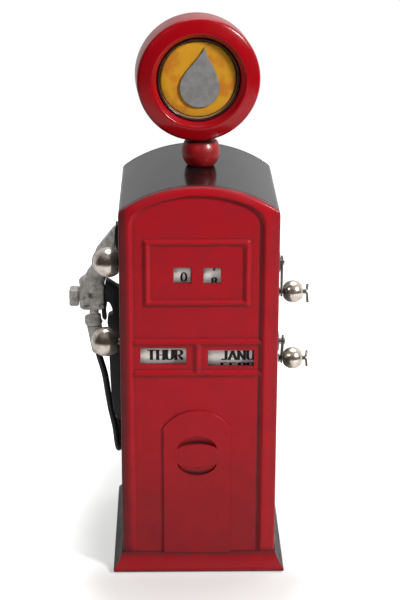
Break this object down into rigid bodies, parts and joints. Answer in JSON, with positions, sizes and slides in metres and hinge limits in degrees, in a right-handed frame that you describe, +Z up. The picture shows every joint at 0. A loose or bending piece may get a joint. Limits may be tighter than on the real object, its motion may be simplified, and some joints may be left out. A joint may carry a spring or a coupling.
{
  "type": "perpetual desk calendar shaped like a petrol pump",
  "caption": "Miniature vintage gas pump with a round sign on a ball, embossed front, calendar drums turned by side knobs and cranks, and a nozzle with its hose hung on the side.",
  "frame": {"origin": "centre of the felt pad's underside, where the pump stands", "axes": "+Z up; -Y is the front with the windows; +X is the side with the cranks, -X the side with the nozzle"},
  "size_m": [0.0929, 0.0742, 0.2151],
  "materials": {
    "red_paint": "satin red paint with a dark wash in the recesses",
    "dark_paint": "glossy dark grey enamel",
    "yellow_enamel": "satin yellow enamel",
    "black_enamel": "glossy black enamel",
    "emblem_grey": "dull grey metal",
    "steel": "plain bright steel",
    "brass": "plain brass",
    "nickel": "warm polished nickel, a little tarnished",
    "cast_pewter": "grey casting, rough and pitted",
    "black_plastic": "black plastic, half gloss",
    "drum_plastic": "off-white with black print",
    "hose_rubber": "smooth black rubber",
    "felt": "black felt"
  },
  "bodies": {
    "pump_body": {"base_pad": "felt", "base_plate": "steel", "base_screw_1": "steel", "base_screw_2": "steel", "base_screw_3": "steel", "base_screw_4": "steel", "bracket_screw_1": "steel", "bracket_screw_2": "steel", "casing": "dark_paint", "drum_bracket": "steel", "front_panel": "red_paint", "globe_back": "red_paint", "globe_bezel": "black_enamel", "globe_emblem": "emblem_grey", "globe_face": "yellow_enamel", "globe_housing": "red_paint", "globe_nut": "brass", "globe_stud": "steel", "hose": "hose_rubber", "hose_outlet": "cast_pewter", "month_bush": "brass", "month_washer": "steel", "neck_ball": "red_paint", "nozzle_holder": "black_plastic", "rear_cover": "dark_paint", "rear_screw_1": "steel", "rear_screw_2": "steel", "rear_screw_3": "steel", "rear_screw_4": "steel", "roof_nut": "brass", "roof_washer": "steel", "side_skirt": "dark_paint", "tens_bush": "brass", "tens_washer": "steel", "units_bush": "brass", "units_washer": "steel", "weekday_bush": "brass", "weekday_washer": "steel"},
    "tens_set": {"tens_drum": "drum_plastic", "tens_axle": "steel", "tens_knob": "nickel"},
    "units_set": {"units_drum": "drum_plastic", "units_axle": "steel", "units_crank": "nickel", "units_pin": "nickel"},
    "units_ball": {"units_bead": "nickel"},
    "weekday_set": {"weekday_drum": "drum_plastic", "weekday_axle": "steel", "weekday_knob": "nickel"},
    "month_set": {"month_drum": "drum_plastic", "month_axle": "steel", "month_crank": "nickel", "month_pin": "nickel"},
    "month_ball": {"month_bead": "nickel"},
    "nozzle": {"nozzle_body": "cast_pewter", "valve_cap": "cast_pewter", "hose_coupling": "cast_pewter", "trigger_pin": "steel"},
    "trigger": {"nozzle_trigger": "black_plastic"}
  },
  "joints": [
    {"name": "tens_turn", "type": "hinge", "parent": "pump_body", "child": "tens_set", "pos_m": [-0.03, -0.0202, 0.1243], "axis": [1, 0, 0], "continuous": true},
    {"name": "units_turn", "type": "hinge", "parent": "pump_body", "child": "units_set", "pos_m": [0.03, -0.0202, 0.1243], "axis": [1, 0, 0], "continuous": true},
    {"name": "weekday_turn", "type": "hinge", "parent": "pump_body", "child": "weekday_set", "pos_m": [-0.03, -0.0202, 0.092], "axis": [1, 0, 0], "continuous": true},
    {"name": "month_turn", "type": "hinge", "parent": "pump_body", "child": "month_set", "pos_m": [0.03, -0.0202, 0.092], "axis": [1, 0, 0], "continuous": true},
    {"name": "units_ball_spin", "type": "hinge", "parent": "units_set", "child": "units_ball", "pos_m": [0.0361, -0.0202, 0.1123], "axis": [1, 0, 0], "continuous": true},
    {"name": "month_ball_spin", "type": "hinge", "parent": "month_set", "child": "month_ball", "pos_m": [0.037, -0.01399, 0.08244], "axis": [1, 0, 0], "continuous": true},
    {"name": "nozzle_pull", "type": "slide", "parent": "pump_body", "child": "nozzle", "axis": [-1, 0, 0], "range_m": [0, 0.006]},
    {"name": "trigger_squeeze", "type": "hinge", "parent": "nozzle", "child": "trigger", "pos_m": [-0.038, 0, 0.1008], "axis": [0, 1, 0], "range_deg": [0, 15], "stiffness_Nm_per_rad": 0.0005, "springref_deg": -8.59}
  ]
}
